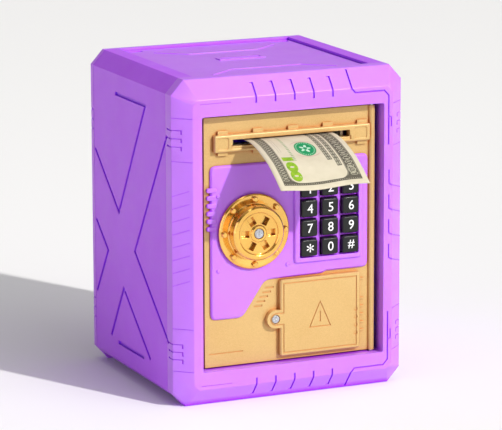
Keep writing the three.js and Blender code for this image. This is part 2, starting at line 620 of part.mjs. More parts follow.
/** The battery door: a groove outlines its face and the ear round its screw; scallops on the right. */
function batteryCover() {
  const { left, right, low, high } = BATTERY_COVER;
  const { x: screwX, z: screwZ } = BATTERY_SCREW;
  const face = rounded(rectangle(left, right, low, high), 1.4);
  const plate = bevelledPlate(face, COVER_FRONT_Y, TRIM_BACK_Y, 0.7);
  const earRadius = 6.2;
  const ear = join(
    rod('y', earRadius, [screwX, screwZ], COVER_FRONT_Y, TRIM_BACK_Y, 32),
    block([screwX, left + 1.5], [COVER_FRONT_Y, TRIM_BACK_Y], [screwZ - earRadius, screwZ + earRadius]));
  const bend = 3.9;
  const inner = { left: left + 2.2, right: right - 3.1, low: low + 2.5, high: high - 2.5 };
  const arc = [90, 120, 150, 180, 210, 240, 270].map((degrees) => {
    const angle = THREE.MathUtils.degToRad(degrees);
    return [screwX + bend * Math.cos(angle), screwZ + bend * Math.sin(angle)];
  });
  const outline = [[inner.left, screwZ + bend], [inner.left, inner.high], [inner.right, inner.high],
    [inner.right, inner.low], [inner.left, inner.low], [inner.left, screwZ - bend],
    ...[...arc].reverse(), [inner.left, screwZ + bend]];
  const triangle = [[13.1, 46.5], [20.8, 63.7], [28.5, 46.5], [13.1, 46.5]];
  const bar = [[20.8, 50.3], [20.8, 56.5]];
  const onCover = ([x, z]) => [x, COVER_FRONT_Y, z];
  const engrave = (path, width) => trenchPath(path.map(onCover), TO_FRONT, width, 0.5);
  const scallops = Array.from({ length: GRIP.count }, (_, i) => {
    const centre = [inner.right - 0.4, GRIP.low + GRIP.pitch * i];
    return rod('y', 1.5, centre, COVER_FRONT_Y - 1, COVER_FRONT_Y + 0.8, 14);
  });
  const { left: l, right: r, low: b, high: t } = CELL_WINDOW;
  const lip = block([l + 0.5, r - 0.5], [TRIM_BACK_Y - 0.5, -64.6], [b + 0.5, t - 0.5])
    .subtract(block([l + 2.5, r - 2.5], [TRIM_BACK_Y, -64], [b + 2.5, t - 2.5]));
  const hole = rod('y', 1.6, [screwX, screwZ], COVER_FRONT_Y - 1, TRIM_BACK_Y + 1, 12);
  const seat = rod('y', 3.1, [screwX, screwZ], COVER_FRONT_Y - 1, -69, 20);
  const lines = [...engrave(outline, 0.8), ...engrave(triangle, 0.7), ...engrave(bar, 1.2)];
  return cut(join(plate, ear, lip), hole, seat, ...scallops, ...lines);
}

function plateOf([x0, x1], [z0, z1], frontY, backY, radius = 2) {
  return prism('y', rounded(rectangle(x0, x1, z0, z1), radius), frontY, backY, 3);
}

// ---------------------------------------------------------------- knob and latch

function knobDial() {
  const { x, z, flange, drum, recess, hub } = KNOB;
  const bore = SPINDLE_RADIUS + FIT;
  const body = turned([
    [bore, -69], [flange, -69], [flange, -70.4], [flange - 0.9, -71.3], [flange - 2.2, -71.2],
    [drum + 0.8, -70.5], [drum, -71], [drum, -77.8], [drum - 1.1, -79], [recess + 0.8, -79], [recess, -78.3],
    [recess, -77.5], [hub, -77.5], [hub, -78.1], [hub - 0.8, -78.7], [3.6, -78.7], [3.6, -76.9],
    [1.5, -76.9], [1.5, -74.3], [bore, -74.3],
  ], x, z, 40);
  const pockets = [];
  const studs = [];
  const studRadius = 1.95;
  for (let i = 0; i < 6; i += 1) {
    const geometry = new THREE.BoxGeometry(5.6, 4, 4.6).translate(9.4, -76, 0);
    pockets.push(toSolid(geometry.rotateY(-Math.PI / 3 * i).translate(x, 0, z)));
  }
  for (let i = 0; i < 8; i += 1) {
    const centre = aroundKnob(22, Math.PI / 4 * i);
    studs.push(rod('y', studRadius, centre, -72.8, -70.2, 14));
    studs.push(rod('y', 1.45, centre, -73.4, -72.8, 14, studRadius));
  }
  return cut(join(body, ...studs), ...pockets);
}

function knobSpindle() {
  const { x, z } = KNOB;
  const offset = CAM_THROW * Math.SQRT1_2;
  return cut(join(
    rod('y', SPINDLE_RADIUS, [x, z], -74, -62.5, 24),
    rod('y', 9, [x, z], -63.1, -61.7, 24),
    rod('y', CAM_PIN, [x + offset, z + offset], -62, -57.5, 16)),
  rod('y', 1.4, [x, z], -75, -69.5, 12));
}

/** The bolt slides sideways. Its upright slot is driven by the cam pin on the knob's spindle. */
function latchBolt() {
  const pinX = KNOB.x + CAM_THROW * Math.SQRT1_2;
  const middle = KNOB.z;
  const outline = [[-60, middle - 4], [pinX + 6, middle - 4], [pinX + 6, middle + 10.5],
    [pinX - 6, middle + 10.5], [pinX - 6, middle + 4], [-58.2, middle + 4], [-60, middle + 2.6]];
  const half = CAM_PIN + 0.3;
  const slot = rounded(rectangle(pinX - half, pinX + half, middle + 2.4, middle + 8.6), 1);
  const yoke = prism('y', slot, -62, -57, 3);
  return prism('y', outline, -61.3, -57.3).subtract(yoke);
}

// ---------------------------------------------------------------- note feed

/** Gear outline about its own centre, with a tooth (or a gap) pointing along the given angle. */
function gearOutline({ teeth, tip, root }, tipHalf, rootHalf, startAngle) {
  const points = [];
  for (let i = 0; i < teeth; i += 1) {
    const middle = startAngle + (2 * Math.PI * i) / teeth;
    for (const [radius, half] of [[root, -rootHalf], [tip, -tipHalf], [tip, tipHalf], [root, rootHalf]]) {
      const angle = middle + half / radius;
      points.push([radius * Math.cos(angle), radius * Math.sin(angle)]);
    }
  }
  return points;
}

function gearSolid(gear, [left, right], [y, z], tipHalf, rootHalf, startAngle) {
  const outline = gearOutline(gear, tipHalf, rootHalf, startAngle).map(([u, v]) => [y + u, z + v]);
  return prism('x', outline, left, right);
}

const feedGear = () => gearSolid(GEAR, [-46.8, -43.4], [ROLLER_Y, FEED_Z], 0.2, 0.6, -Math.PI / 2)
  .subtract(rod('x', SHAFT_RADIUS + FIT, [ROLLER_Y, FEED_Z], -48, -42, 16));

const motorPinion = () => {
  const gap = Math.PI / 2 + Math.PI / PINION.teeth;
  return gearSolid(PINION, [-48.6, -41.6], [ROLLER_Y, MOTOR_Z], 0.18, 0.5, gap)
    .add(rod('x', 1, [ROLLER_Y, MOTOR_Z], -49.2, -31, 12));
};

const feedTyre = (from, to) => rod('x', TYRE_RADIUS, [ROLLER_Y, FEED_Z], from, to, 24)
  .subtract(rod('x', SHAFT_RADIUS + FIT, [ROLLER_Y, FEED_Z], from - 1, to + 1, 16));

const pressureRoller = () => join(
  rod('x', SHAFT_RADIUS, [ROLLER_Y, PRESS_Z], -42.5, 42.5, 16),
  rod('x', PRESS_RADIUS, [ROLLER_Y, PRESS_Z], -17, 17, 24));

function feedBracket(side) {
  const span = [side * 39.2, side * 41].sort((a, b) => a - b);
  const plate = block(span, [PANEL_BACK_Y + FIT, -46.6], [153, 189]);
  const hole = (radius, z) => rod('x', radius, [ROLLER_Y, z], span[0] - 1, span[1] + 1, 16);
  const bore = SHAFT_RADIUS + 0.15;
  return cut(plate, hole(bore, FEED_Z), hole(bore, PRESS_Z), hole(1.3, MOTOR_Z));
}

function feedMotor() {
  const can = rod('x', 6.2, [ROLLER_Y, MOTOR_Z], -38.6, -18.5, 24);
  const tail = rod('x', 2.4, [ROLLER_Y, MOTOR_Z], -19, -17, 12);
  return can.add(tail).subtract(rod('x', 1.2, [ROLLER_Y, MOTOR_Z], -39.5, -30.5, 12));
}

/** The play banknote: flat as far as it can be fed through the rollers, bending down at both free ends. */
function playNote() {
  const { left, right, z, thickness } = NOTE;
  const curve = new THREE.SplineCurve([
    [12.6, z - 9.6], [7.2, z - 4.4], [1, z - 1.2], [-5.5, z], [-12, z], [-18.5, z], [-45, z], [-71, z],
    [-80.5, z - 1.2], [-89.4, z - 3.7], [-104.3, z - 9.9], [-115.6, z - 17.2], [-124.9, z - 24.3],
  ].map(([u, v]) => new THREE.Vector2(u, v)));
  const steps = 48;
  const upper = [];
  const lower = [];
  for (let i = 0; i <= steps; i += 1) {
    const t = i / steps;
    const point = curve.getPoint(t);
    const tangent = curve.getTangent(t);
    const across = new THREE.Vector2(tangent.y, -tangent.x).multiplyScalar(thickness / 2);
    upper.push([point.x + across.x, point.y + across.y]);
    lower.unshift([point.x - across.x, point.y - across.y]);
  }
  return prism('x', [...upper, ...lower], left, right);
}

// ---------------------------------------------------------------- assembly

const bank = new THREE.Group();

function place(name, solid, material, group = bank) {
  const mesh = new THREE.Mesh(toGeometry(solid), material);
  mesh.name = name;
  group.add(mesh);
}

place('front_frame', frontFrame(), PURPLE);
place('left_side_panel', sidePanel(-1), PURPLE);
place('right_side_panel', sidePanel(1), PURPLE);
place('top_panel', topPanel(), PURPLE);
place('bottom_panel', bottomPanel(), PURPLE);
place('rear_frame', rearFrame(), PURPLE);
place('back_panel', backPanel(), PURPLE);
place('coin_chute', coinChute(), PURPLE);
place('hinge_pin_upper', hingePin(DOOR.high - 5.6, OPENING.high + 4.6), SILVER);
place('hinge_pin_lower', hingePin(OPENING.low - 4.6, DOOR.low + 5.6), SILVER);
[-1, 1].forEach((side, i) => [SCREW_BOSS.low, SCREW_BOSS.high].forEach((z, j) => {
  const casingScrew = screw(side * SCREW_BOSS.x, z, REAR_Y - 2 + 0.1, 3, 1.2, 1.6, 16, -1);
  place(`casing_screw_${2 * i + j + 1}`, casingScrew, SILVER);
}));

const door = new THREE.Group();
bank.add(door);
place('door_panel', doorPanel(), GOLD, door);
place('slot_bezel', slotBezel(), GOLD, door);
place('keypad_plate', keypadPlate(), PURPLE, door);
place('door_back_cover', doorBackCover(), PURPLE, door);
COVER_SCREWS.forEach(([x, z], i) => {
  place(`cover_screw_${i + 1}`, screw(x, z, -45.1, 2.7, 1.2, 1.4, 14, -1), SILVER, door);
});
place('battery_tray', batteryTray(), DARK, door);
CELL.z.forEach((z, i) => place(`battery_cell_${i + 1}`, batteryCell(z), CELL_WRAP, door));
place('contact_plate_left', plateOf([-4.1, -3.5], [33, 76], -62, -49.5, 0.1), SILVER, door);
place('contact_plate_right', plateOf([47.5, 48.1], [33, 76], -62, -49.5, 0.1), SILVER, door);
place('keypad_mat', plateOf([4, 51.8], [92.2, 150.4], PANEL_BACK_Y + FIT, -62.2), RUBBER, door);
place('circuit_board', plateOf([3, 53], [91.2, 151.6], -61.9, -60.3), BOARD_GREEN, door);
place('speaker', rod('y', 12.5, [-31.5, 62], PANEL_BACK_Y + FIT, -57.5, 24, 9), DARK, door);
place('feed_bracket_left', feedBracket(-1), NYLON, door);
place('feed_bracket_right', feedBracket(1), NYLON, door);
place('feed_motor', feedMotor(), SILVER, door);

place('knob_dial', knobDial(), CHROME_GOLD, door);
place('knob_spindle', knobSpindle(), BLACK, door);
place('knob_screw', screw(KNOB.x, KNOB.z, -77.1, 3.2, 1.1, 1.5, 6, 1), SILVER, door);
place('latch_bolt', latchBolt(), NYLON, door);
keyCentres().forEach(({ name, x, z }) => place(`key_${name}`, keyCap(x, z), BLACK, door));
place('battery_cover', batteryCover(), GOLD, door);
place('battery_screw', screw(BATTERY_SCREW.x, BATTERY_SCREW.z, -69.1, 2.7, 1.2, 1.3, 11, 1), SILVER, door);
place('feed_shaft', rod('x', SHAFT_RADIUS, [ROLLER_Y, FEED_Z], -47.6, 42.5, 16), SILVER, door);
place('feed_tyre_left', feedTyre(-16, -5), RUBBER, door);
place('feed_tyre_right', feedTyre(5, 16), RUBBER, door);
place('feed_gear', feedGear(), NYLON, door);
place('motor_pinion', motorPinion(), BRASS, door);
place('pressure_roller', pressureRoller(), DARK, door);
place('play_note', playNote(), PAPER, door);

// The origin is on the floor, under the middle of the object's box.
const box = new THREE.Box3().setFromObject(bank);
bank.position.y = -(box.min.y + box.max.y) / 2;

export default bank;
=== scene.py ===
"""Toy safe coin bank: the looks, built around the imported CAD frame. Metres, +Z up, door towards -Y."""
import json
import math

import bmesh
import bpy
from mathutils import Matrix, Vector


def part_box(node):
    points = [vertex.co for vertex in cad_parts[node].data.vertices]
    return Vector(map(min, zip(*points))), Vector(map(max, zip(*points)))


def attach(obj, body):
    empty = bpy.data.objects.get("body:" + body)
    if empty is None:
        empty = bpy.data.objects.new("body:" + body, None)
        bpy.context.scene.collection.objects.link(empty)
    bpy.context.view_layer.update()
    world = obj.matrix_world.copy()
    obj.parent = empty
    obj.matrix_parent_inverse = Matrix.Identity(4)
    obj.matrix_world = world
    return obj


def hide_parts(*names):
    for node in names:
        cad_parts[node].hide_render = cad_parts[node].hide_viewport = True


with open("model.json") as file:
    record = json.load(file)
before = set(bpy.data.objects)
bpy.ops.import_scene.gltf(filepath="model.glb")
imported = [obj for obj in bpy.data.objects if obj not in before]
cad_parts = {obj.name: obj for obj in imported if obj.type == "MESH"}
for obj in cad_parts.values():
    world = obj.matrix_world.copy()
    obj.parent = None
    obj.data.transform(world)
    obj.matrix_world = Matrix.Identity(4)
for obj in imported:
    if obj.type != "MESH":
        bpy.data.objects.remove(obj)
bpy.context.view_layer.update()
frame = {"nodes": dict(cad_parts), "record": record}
nodes = frame["nodes"]
record = frame["record"]
scene = bpy.context.scene
MM = 0.001

# ------------------------------------------------------------------ camera, floor and light

CAMERA_PLACE = (-0.82192, -1.81558, 0.54216)
CAMERA_ANGLES = (-24.42, 11.423, -0.113)  # azimuth, elevation and roll in degrees
LENS_MM = 215.1
LENS_SHIFT = (-0.0270, -0.0702)

FLOOR_REACH = 6.0
CABINET_MIDDLE = Vector((0, 0, 0.11))
KEY_DIRECTION = (0.381, -0.748, 0.544)

# Soft bright patches of the studio: axis, cosines where it starts and is full, strength there.
STUDIO = (
    (KEY_DIRECTION, 0.85, 0.96, 1.6),
    ((1, -0.55, 0.1), 0.3, 0.9, 0.35),
    ((0.41, -0.89, -0.2), 0.9, 0.98, 1.5),
    ((0, 0, 1), 0.55, 0.95, 0.45),
    ((0, 1, 0.1), 0.1, 0.9, 0.3),
    ((0, 0, 1), -1.0, -0.99, 0.04),
)

scene.view_settings.view_transform = "Standard"


def look_matrix(azimuth, elevation, roll):
    """Rotation of a camera that stands at that azimuth and elevation and looks back at the object."""
    a, e, r = (math.radians(v) for v in (azimuth, elevation, roll))
    back = Vector((math.sin(a) * math.cos(e), -math.cos(a) * math.cos(e), math.sin(e)))
    right = (-back).cross(Vector((0, 0, 1))).normalized()
    up = right.cross(-back)
    side = right * math.cos(r) + up * math.sin(r)
    top = up * math.cos(r) - right * math.sin(r)
    return Matrix((side, top, back)).transposed()


def make_camera():
    data = bpy.data.cameras.new("camera")
    data.lens = LENS_MM
    data.sensor_width = 36
    data.shift_x, data.shift_y = LENS_SHIFT
    data.clip_end = 20
    camera = bpy.data.objects.new("camera", data)
    scene.collection.objects.link(camera)
    camera.matrix_world = Matrix.Translation(CAMERA_PLACE) @ look_matrix(*CAMERA_ANGLES).to_4x4()
    scene.camera = camera


def make_light(kind, name, direction, energy, colour, distance=2.5, **settings):
    """A light that shines at the cabinet's middle from that direction."""
    data = bpy.data.lights.new(name, kind)
    data.energy = energy
    data.color = colour
    for key, value in settings.items():
        setattr(data, key, value)
    light = bpy.data.objects.new(name, data)
    towards = Vector(direction).normalized()
    light.location = CABINET_MIDDLE + towards * distance
    light.rotation_euler = towards.to_track_quat("Z", "Y").to_euler()
    scene.collection.objects.link(light)


def make_world():
    """A pale studio, bright on the key light's side and dim on the left, so that gold has contrast."""
    world = bpy.data.worlds.new("studio")
    world.use_nodes = True
    tree = world.node_tree
    tree.nodes.clear()
    direction = tree.nodes.new("ShaderNodeTexCoord").outputs["Generated"]

    def lobe(axis, start, end, amount):
        """Rises from nothing to that amount as the view turns towards the axis."""
        dot = tree.nodes.new("ShaderNodeVectorMath")
        dot.operation = "DOT_PRODUCT"
        dot.inputs[1].default_value = Vector(axis).normalized()
        ramp = tree.nodes.new("ShaderNodeMapRange")
        for socket, value in (("From Min", start), ("From Max", end), ("To Max", amount)):
            ramp.inputs[socket].default_value = value
        ramp.interpolation_type = "SMOOTHSTEP"
        tree.links.new(direction, dot.inputs[0])
        tree.links.new(dot.outputs["Value"], ramp.inputs["Value"])
        return ramp.outputs["Result"]

    total = None
    for part in (lobe(*patch) for patch in STUDIO):
        if total is None:
            total = part
            continue
        add = tree.nodes.new("ShaderNodeMath")
        tree.links.new(total, add.inputs[0])
        tree.links.new(part, add.inputs[1])
        total = add.outputs[0]
    background = tree.nodes.new("ShaderNodeBackground")
    output = tree.nodes.new("ShaderNodeOutputWorld")
    tree.links.new(total, background.inputs["Strength"])
    tree.links.new(background.outputs[0], output.inputs["Surface"])
    scene.world = world


def make_floor():
    mesh = bpy.data.meshes.new("floor")
    corners = [(x * FLOOR_REACH, y * FLOOR_REACH, 0) for x, y in ((-1, -1), (1, -1), (1, 1), (-1, 1))]
    mesh.from_pydata(corners, [], [(0, 1, 2, 3)])
    floor = bpy.data.objects.new("floor", mesh)
    scene.collection.objects.link(floor)
    mat = bpy.data.materials.new("floor_white")
    mat.use_nodes = True
    shader = mat.node_tree.nodes["Principled BSDF"]
    shader.inputs["Base Color"].default_value = (0.9, 0.9, 0.9, 1)
    shader.inputs["Roughness"].default_value = 0.9
    mesh.materials.append(mat)


# ------------------------------------------------------------------ materials


class Shader:
    """A small helper round one material's node tree, built on a Principled shader."""

    def __init__(self, name, **constants):
        self.material = bpy.data.materials.new(name)
        self.material.use_nodes = True
        self.tree = self.material.node_tree
        self.principled = self.tree.nodes["Principled BSDF"]
        for key, value in constants.items():
            self.principled.inputs[key.replace("_", " ")].default_value = value
        self.place = self.tree.nodes.new("ShaderNodeTexCoord").outputs["Object"]

    def node(self, kind, inputs=(), **settings):
        """Adds a node; each input is a value or another node's output."""
        made = self.tree.nodes.new("ShaderNode" + kind)
        for key, value in settings.items():
            setattr(made, key, value)
        for key, value in dict(inputs).items():
            if isinstance(value, bpy.types.NodeSocket):
                self.tree.links.new(value, made.inputs[key])
            else:
                made.inputs[key].default_value = value
        return made

    def noise(self, scale, detail, distortion=0.0):
        """Soft noise over the piece, in steps of 1/scale metres."""
        return self.node("TexNoise", {"Vector": self.place, "Scale": scale, "Detail": detail,
                                      "Distortion": distortion}).outputs["Fac"]

    def spread(self, value, low, high, from_low=0.3, from_high=0.7):
        """Maps a value from one range onto another, by default from the middle of a noise."""
        return self.node("MapRange", {"Value": value, "From Min": from_low, "From Max": from_high,
                                      "To Min": low, "To Max": high}).outputs["Result"]

    def mix(self, factor, first, second):
        """The first colour at factor 0, the second at 1."""
        made = self.tree.nodes.new("ShaderNodeMix")
        made.data_type = "RGBA"
        for socket, value in zip((made.inputs[0], made.inputs[6], made.inputs[7]), (factor, first, second)):
            if isinstance(value, bpy.types.NodeSocket):
                self.tree.links.new(value, socket)
            else:
                socket.default_value = value
        return made.outputs[2]

    def math(self, operation, first, second=0.0):
        made = self.node("Math", operation=operation)
        for socket, value in zip(made.inputs, (first, second)):
            if isinstance(value, bpy.types.NodeSocket):
                self.tree.links.new(value, socket)
            else:
                socket.default_value = value
        return made.outputs[0]

    def painted_shade_mask(self, reach, amount):
        """Mask for painted shade, from ambient occlusion: up to the amount inside grooves and corners, 0 in
        the open.
        """
        open_sky = self.node("AmbientOcclusion", {"Distance": reach}, samples=6).outputs["AO"]
        return self.node("MapRange", {"Value": open_sky, "From Min": 0.8, "From Max": 0.3,
                                      "To Max": amount}).outputs["Result"]

    def bump(self, height, distance):
        made = self.node("Bump", {"Height": height, "Distance": distance, "Strength": 1.0})
        self.feed("Normal", made.outputs["Normal"])

    def feed(self, socket, value):
        """Links a value to the Principled shader."""
        self.tree.links.new(value, self.principled.inputs[socket])


def rgb(red, green, blue):
    """sRGB 0-255 to linear, with alpha."""
    def linear(value):
        value /= 255
        return value / 12.92 if value <= 0.04045 else ((value + 0.055) / 1.055) ** 2.4
    return (linear(red), linear(green), linear(blue), 1)


def moulded(name, colour, shade, roughness, grain=0.00002, groove_shade=None, **constants):
    """Moulded plastic: fine grain, slight flow marks in the colour, uneven gloss, and painted shade that
    darkens the colour in grooves and recesses.
    """
    s = Shader(name, **constants)
    tone = s.mix(s.spread(s.noise(14, 4, 0.4), 0, 1), colour, shade)
    # Painted shade: the colour turns to the groove shade colour where the occlusion mask finds grooves and
    # recesses.
    s.feed("Base Color", s.mix(s.painted_shade_mask(0.005, 0.95), tone, groove_shade) if groove_shade else tone)
    s.feed("Roughness", s.spread(s.noise(60, 4), roughness - 0.04, roughness + 0.05))
    s.bump(s.noise(900, 2), grain)
    return s.material


def gold_paint():
    """Metallic gold paint: tiny flakes that vary in gloss, over a very fine orange peel, with painted shade
    turning it dark orange in grooves and gaps.
    """
    s = Shader("gold_paint", Metallic=0.35, Specular_IOR_Level=0.5, Coat_Weight=0.25, Coat_Roughness=0.25)
    flakes = s.node("TexVoronoi", {"Vector": s.place, "Scale": 2600.0}).outputs["Color"]
    flake = s.node("SeparateColor", {"Color": flakes}).outputs["Red"]
    tone = s.mix(s.spread(s.noise(18, 3), 0, 1), rgb(202, 168, 106), rgb(196, 159, 94))
    tone = s.mix(s.spread(flake, 0, 0.2, 0, 1), tone, rgb(250, 214, 150))
    # Painted shade: dark orange where the occlusion mask finds grooves and the gaps round the door.
    s.feed("Base Color", s.mix(s.painted_shade_mask(0.005, 0.75), tone, rgb(202, 106, 22)))
    s.feed("Roughness", s.spread(flake, 0.40, 0.52, 0, 1))
    s.bump(s.noise(420, 2), 0.00003)
    return s.material


def plated_gold():
    """Vacuum-plated plastic: high gloss with faint waviness, and painted shade turning it orange where faces
    see each other.
    """
    s = Shader("plated_gold", Metallic=0.85, Specular_IOR_Level=0.8, Coat_Weight=1.0, Coat_Roughness=0.03)
    tone = s.mix(s.spread(s.noise(40, 2), 0, 1), rgb(250, 199, 96), rgb(242, 185, 78))
    # Painted shade: orange-brown where the occlusion mask finds faces close to each other.
    s.feed("Base Color", s.mix(s.painted_shade_mask(0.0022, 0.9), tone, rgb(190, 78, 8)))
    s.feed("Roughness", s.spread(s.noise(240, 4), 0.12, 0.2))
    s.bump(s.noise(90, 2), 0.00012)
    return s.material


def bare_metal(name, bright, dull):
    """Turned or plated metal: small clouds in the tone and the gloss."""
    s = Shader(name, Metallic=1.0)
    s.feed("Base Color", s.mix(s.spread(s.noise(300, 3), 0, 1), bright, dull))
    s.feed("Roughness", s.spread(s.noise(700, 3), 0.2, 0.38))
    s.bump(s.noise(900, 2), 0.00002)
    return s.material


def key_black():
    s = Shader("key_black", Specular_IOR_Level=0.35, Coat_Weight=0.15, Coat_Roughness=0.12)
    s.feed("Base Color", s.mix(s.spread(s.noise(60, 3), 0, 1), rgb(17, 21, 20), rgb(11, 13, 13)))
    s.feed("Roughness", s.spread(s.noise(260, 4), 0.26, 0.38))
    s.bump(s.noise(800, 2), 0.00001)
    return s.material


def key_ink():
    s = Shader("key_ink")
    s.feed("Base Color", s.mix(s.spread(s.noise(500, 3), 0, 1), rgb(250, 250, 250), rgb(232, 234, 236)))
    s.feed("Roughness", s.spread(s.noise(300, 2), 0.35, 0.5))
    s.bump(s.noise(1500, 2), 0.00001)
    return s.material


def circuit_mask():
    s = Shader("circuit_mask", Coat_Weight=0.4, Coat_Roughness=0.2)
    waves = {"Vector": s.place, "Scale": 160.0, "Distortion": 2.5, "Detail": 1.0}
    tracks = s.node("TexWave", waves).outputs["Fac"]
    s.feed("Base Color", s.mix(s.spread(tracks, 0, 1, 0.55, 0.6), rgb(18, 84, 44), rgb(34, 116, 62)))
    s.feed("Roughness", s.spread(s.noise(300, 2), 0.3, 0.45))
    s.bump(tracks, 0.00003)
    return s.material


def note_paper():
    """Play money: cream stock, patterned side bands, a green rosette and curved red hairlines, by formula."""
    s = Shader("note_paper", Roughness=0.75, Specular_IOR_Level=0.25)
    uv = s.node("UVMap").outputs["UV"]
    axes = s.node("SeparateXYZ", {"Vector": uv})
    u, v = axes.outputs["X"], axes.outputs["Y"]  # millimetres across and along, from the outer left corner

    def band(value, low, high, soft=0.12):
        """1 between low and high."""
        rise = s.spread(value, 0.0, 1.0, low - soft, low + soft)
        fall = s.spread(value, 0.0, 1.0, high - soft, high + soft)
        return s.math("SUBTRACT", rise, fall)

    def both(first, second):
        return s.math("MULTIPLY", first, second)

    def either(first, second):
        return s.math("MAXIMUM", first, second)

    def ring(centre_u, centre_v, stretch=1.0):
        """Distance from a point, in millimetres."""
        du = s.math("SUBTRACT", u, centre_u)
        dv = s.math("MULTIPLY", s.math("SUBTRACT", v, centre_v), stretch)
        return s.math("SQRT", s.math("ADD", both(du, du), both(dv, dv)))

    def wavy(centre, reach, rate, half):
        """A line that snakes along the note about a centre."""
        swing = s.math("MULTIPLY", s.math("SINE", s.math("MULTIPLY", v, rate)), reach)
        away = s.math("SUBTRACT", s.math("SUBTRACT", u, centre), swing)
        return band(away, -half, half, 0.1)

    def repeats(pitch, share):
        """1 over part of every pitch along the note."""
        return band(s.math("FRACT", s.math("DIVIDE", v, pitch)), 0.0, share, 0.04)

    paper = s.mix(s.spread(s.noise(120, 4), 0, 1), rgb(204, 196, 173), rgb(194, 186, 161))
    fibres = s.node("TexNoise", {"Vector": uv, "Scale": 1.6, "Detail": 6.0, "Distortion": 2.0}).outputs["Fac"]
    colour = s.mix(s.spread(fibres, 0, 0.3, 0.5, 0.8), paper, rgb(172, 166, 142))
    ink = s.mix(s.spread(s.noise(400, 3), 0, 1), rgb(70, 65, 54), rgb(46, 43, 36))
    pale = rgb(170, 166, 144)
    far_end = 300.0  # past the note's inner end

    # dark border: everything between the outer rectangle and an inner one with round corners
    corner = 6.0
    side = s.math("SUBTRACT", s.math("ABSOLUTE", s.math("SUBTRACT", u, 31.2)), 20.6 - corner)
    end = s.math("SUBTRACT", 6.4 + corner, v)
    side, end = s.math("MAXIMUM", side, 0.0), s.math("MAXIMUM", end, 0.0)
    inner = s.math("SUBTRACT", s.math("SQRT", s.math("ADD", both(side, side), both(end, end))), corner)
    outer = both(band(u, 4.2, 60.2), band(v, 4.2, far_end))
    border = both(outer, band(inner, 0.0, 99.0))
    colour = s.mix(both(border, 0.9), colour, ink)

    # pale ornament in the border: crossing waves, beads, an edge line and a medallion near the right corner
    waves = either(either(wavy(7.3, 1.7, 1.25, 0.3), wavy(7.3, -1.7, 1.25, 0.3)),
                   either(wavy(56.1, 2.4, 0.85, 0.35), wavy(56.1, -2.4, 0.85, 0.35)))
    beads = both(either(band(u, 6.6, 8.0), band(u, 55.0, 57.2)), repeats(2.5, 0.4))
    lines = either(either(band(u, 4.7, 5.0), band(u, 59.4, 59.7)), band(inner, 0.35, 0.65, 0.06))
    lines = both(lines, band(v, 8.0, far_end))
    tip = both(band(v, 5.0, 5.5), s.spread(s.math("SINE", s.math("MULTIPLY", u, 4.0)), 0, 1, 0.1, 0.4))
    medallion = band(ring(55.6, 13.0, 0.7), 2.0, 2.7)
    pattern = both(either(waves, beads), band(v, 8.0, far_end))
    ornament = either(pattern, either(either(lines, tip), medallion))
    colour = s.mix(both(both(border, ornament), 0.85), colour, pale)

    # two outlined rows of blocks, short strokes as small print would look, and a row of green marks
    for low_u, high_u, start, pitch in ((42.6, 46.0, 24.0, 3.1), (47.2, 50.6, 17.5, 3.7)):
        row = both(band(u, low_u, high_u), band(v, start, far_end))
        blocks = both(band(u, low_u + 0.45, high_u - 0.45), repeats(pitch, 0.72))
        inside = both(blocks, band(v, start + 0.5, far_end))
        from_middle = s.math("ABSOLUTE", s.math("SUBTRACT", u, (low_u + high_u) / 2))
        colour = s.mix(both(row, 0.85), colour, ink)
        colour = s.mix(both(inside, 0.9), colour, pale)
        colour = s.mix(both(both(inside, band(from_middle, -1.0, 0.4)), 0.7), colour, ink)
    small_print = either(band(u, 13.0, 13.5), band(u, 14.6, 15.1))
    strokes = both(both(small_print, repeats(1.3, 0.6)), band(v, 37.0, far_end))
    colour = s.mix(both(strokes, 0.6), colour, rgb(120, 118, 98))
    marks = both(both(band(u, 19.8, 21.6), repeats(1.9, 0.5)), band(v, 27.0, 60.0))
    colour = s.mix(both(marks, 0.75), colour, rgb(96, 138, 88))

    # rosette: a green disc with a pale rim of beads and petals, between two curved lines
    centre_u, centre_v = 33.0, 39.6
    far = ring(centre_u, centre_v, 0.82)
    angle = s.math("ARCTAN2", s.math("SUBTRACT", v, centre_v), s.math("SUBTRACT", u, centre_u))
    petals = s.math("MULTIPLY", s.math("COSINE", s.math("MULTIPLY", angle, 5.0)), 1.3)
    teeth = s.spread(s.math("COSINE", s.math("MULTIPLY", angle, 30.0)), 0, 1, -0.2, 0.2)
    green = s.mix(s.spread(s.noise(300, 2), 0, 1), rgb(14, 142, 84), rgb(20, 122, 74))
    colour = s.mix(band(far, -1.0, 7.2, 0.2), colour, green)
    colour = s.mix(both(both(band(far, 5.6, 6.5, 0.12), teeth), 0.75), colour, rgb(160, 214, 176))
    flower = band(s.math("SUBTRACT", far, petals), -9.0, 2.6, 0.25)
    colour = s.mix(both(flower, 0.8), colour, rgb(198, 232, 208))
    colour = s.mix(band(far, -1.0, 1.3, 0.2), colour, green)
    beside = band(u, centre_u - 7.5, centre_u + 7.5, 1.5)
    arcs = both(band(ring(centre_u, centre_v, 1.15), 10.6, 11.5, 0.2), beside)
    colour = s.mix(both(arcs, 0.6), colour, rgb(186, 140, 138))
    s.feed("Base Color", colour)
    s.bump(fibres, 0.00004)
    return s.material


def note_ink():
    s = Shader("note_lime", Roughness=0.7)
    s.feed("Base Color", s.mix(s.spread(s.noise(500, 3), 0, 1), rgb(140, 176, 18), rgb(108, 150, 12)))
    s.bump(s.noise(700, 2), 0.00002)
    return s.material


